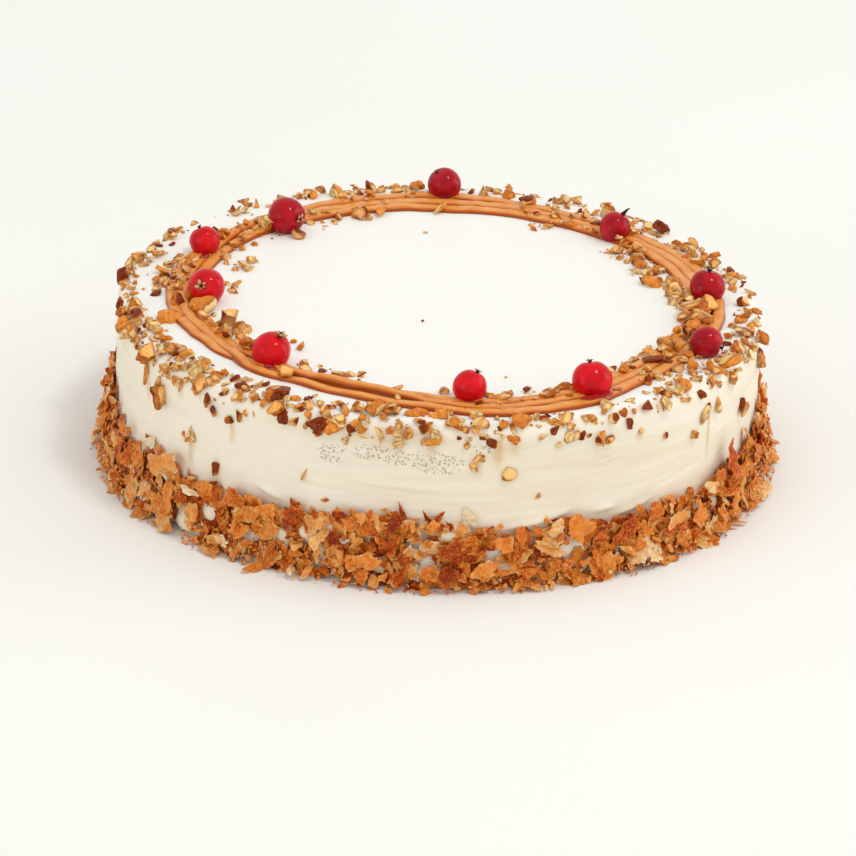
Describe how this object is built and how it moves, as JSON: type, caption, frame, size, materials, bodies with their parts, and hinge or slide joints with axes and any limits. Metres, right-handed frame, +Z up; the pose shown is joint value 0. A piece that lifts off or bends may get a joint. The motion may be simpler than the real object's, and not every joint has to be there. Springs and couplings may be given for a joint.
{
  "type": "round cream cake",
  "caption": "Uncut round cake coated in whipped cream, with a piped caramel ring, chopped nuts and red currants on top and a skirt of crushed crisp wafer round its foot.",
  "frame": {"origin": "centre of the flat underside of the cake", "axes": "+Z up through the middle of the cake, -Y towards the front that the picture shows, +X to its right"},
  "size_m": [0.2182, 0.2178, 0.0632],
  "materials": {
    "whipped_cream": null,
    "crushed_wafer": "dry browned wafer flakes with a toasted, uneven colour",
    "caramel": "soft glossy butterscotch, slightly see-through at its edges",
    "red_currant": "tight shining skin over juicy red flesh"
  },
  "bodies": {
    "root": {"cream_cake": "whipped_cream", "wafer_skirt": "crushed_wafer", "caramel_ring": "caramel", "currant_01": "red_currant", "currant_02": "red_currant", "currant_03": "red_currant", "currant_04": "red_currant", "currant_05": "red_currant", "currant_06": "red_currant", "currant_07": "red_currant", "currant_08": "red_currant", "currant_09": "red_currant", "currant_10": "red_currant"}
  },
  "joints": []
}
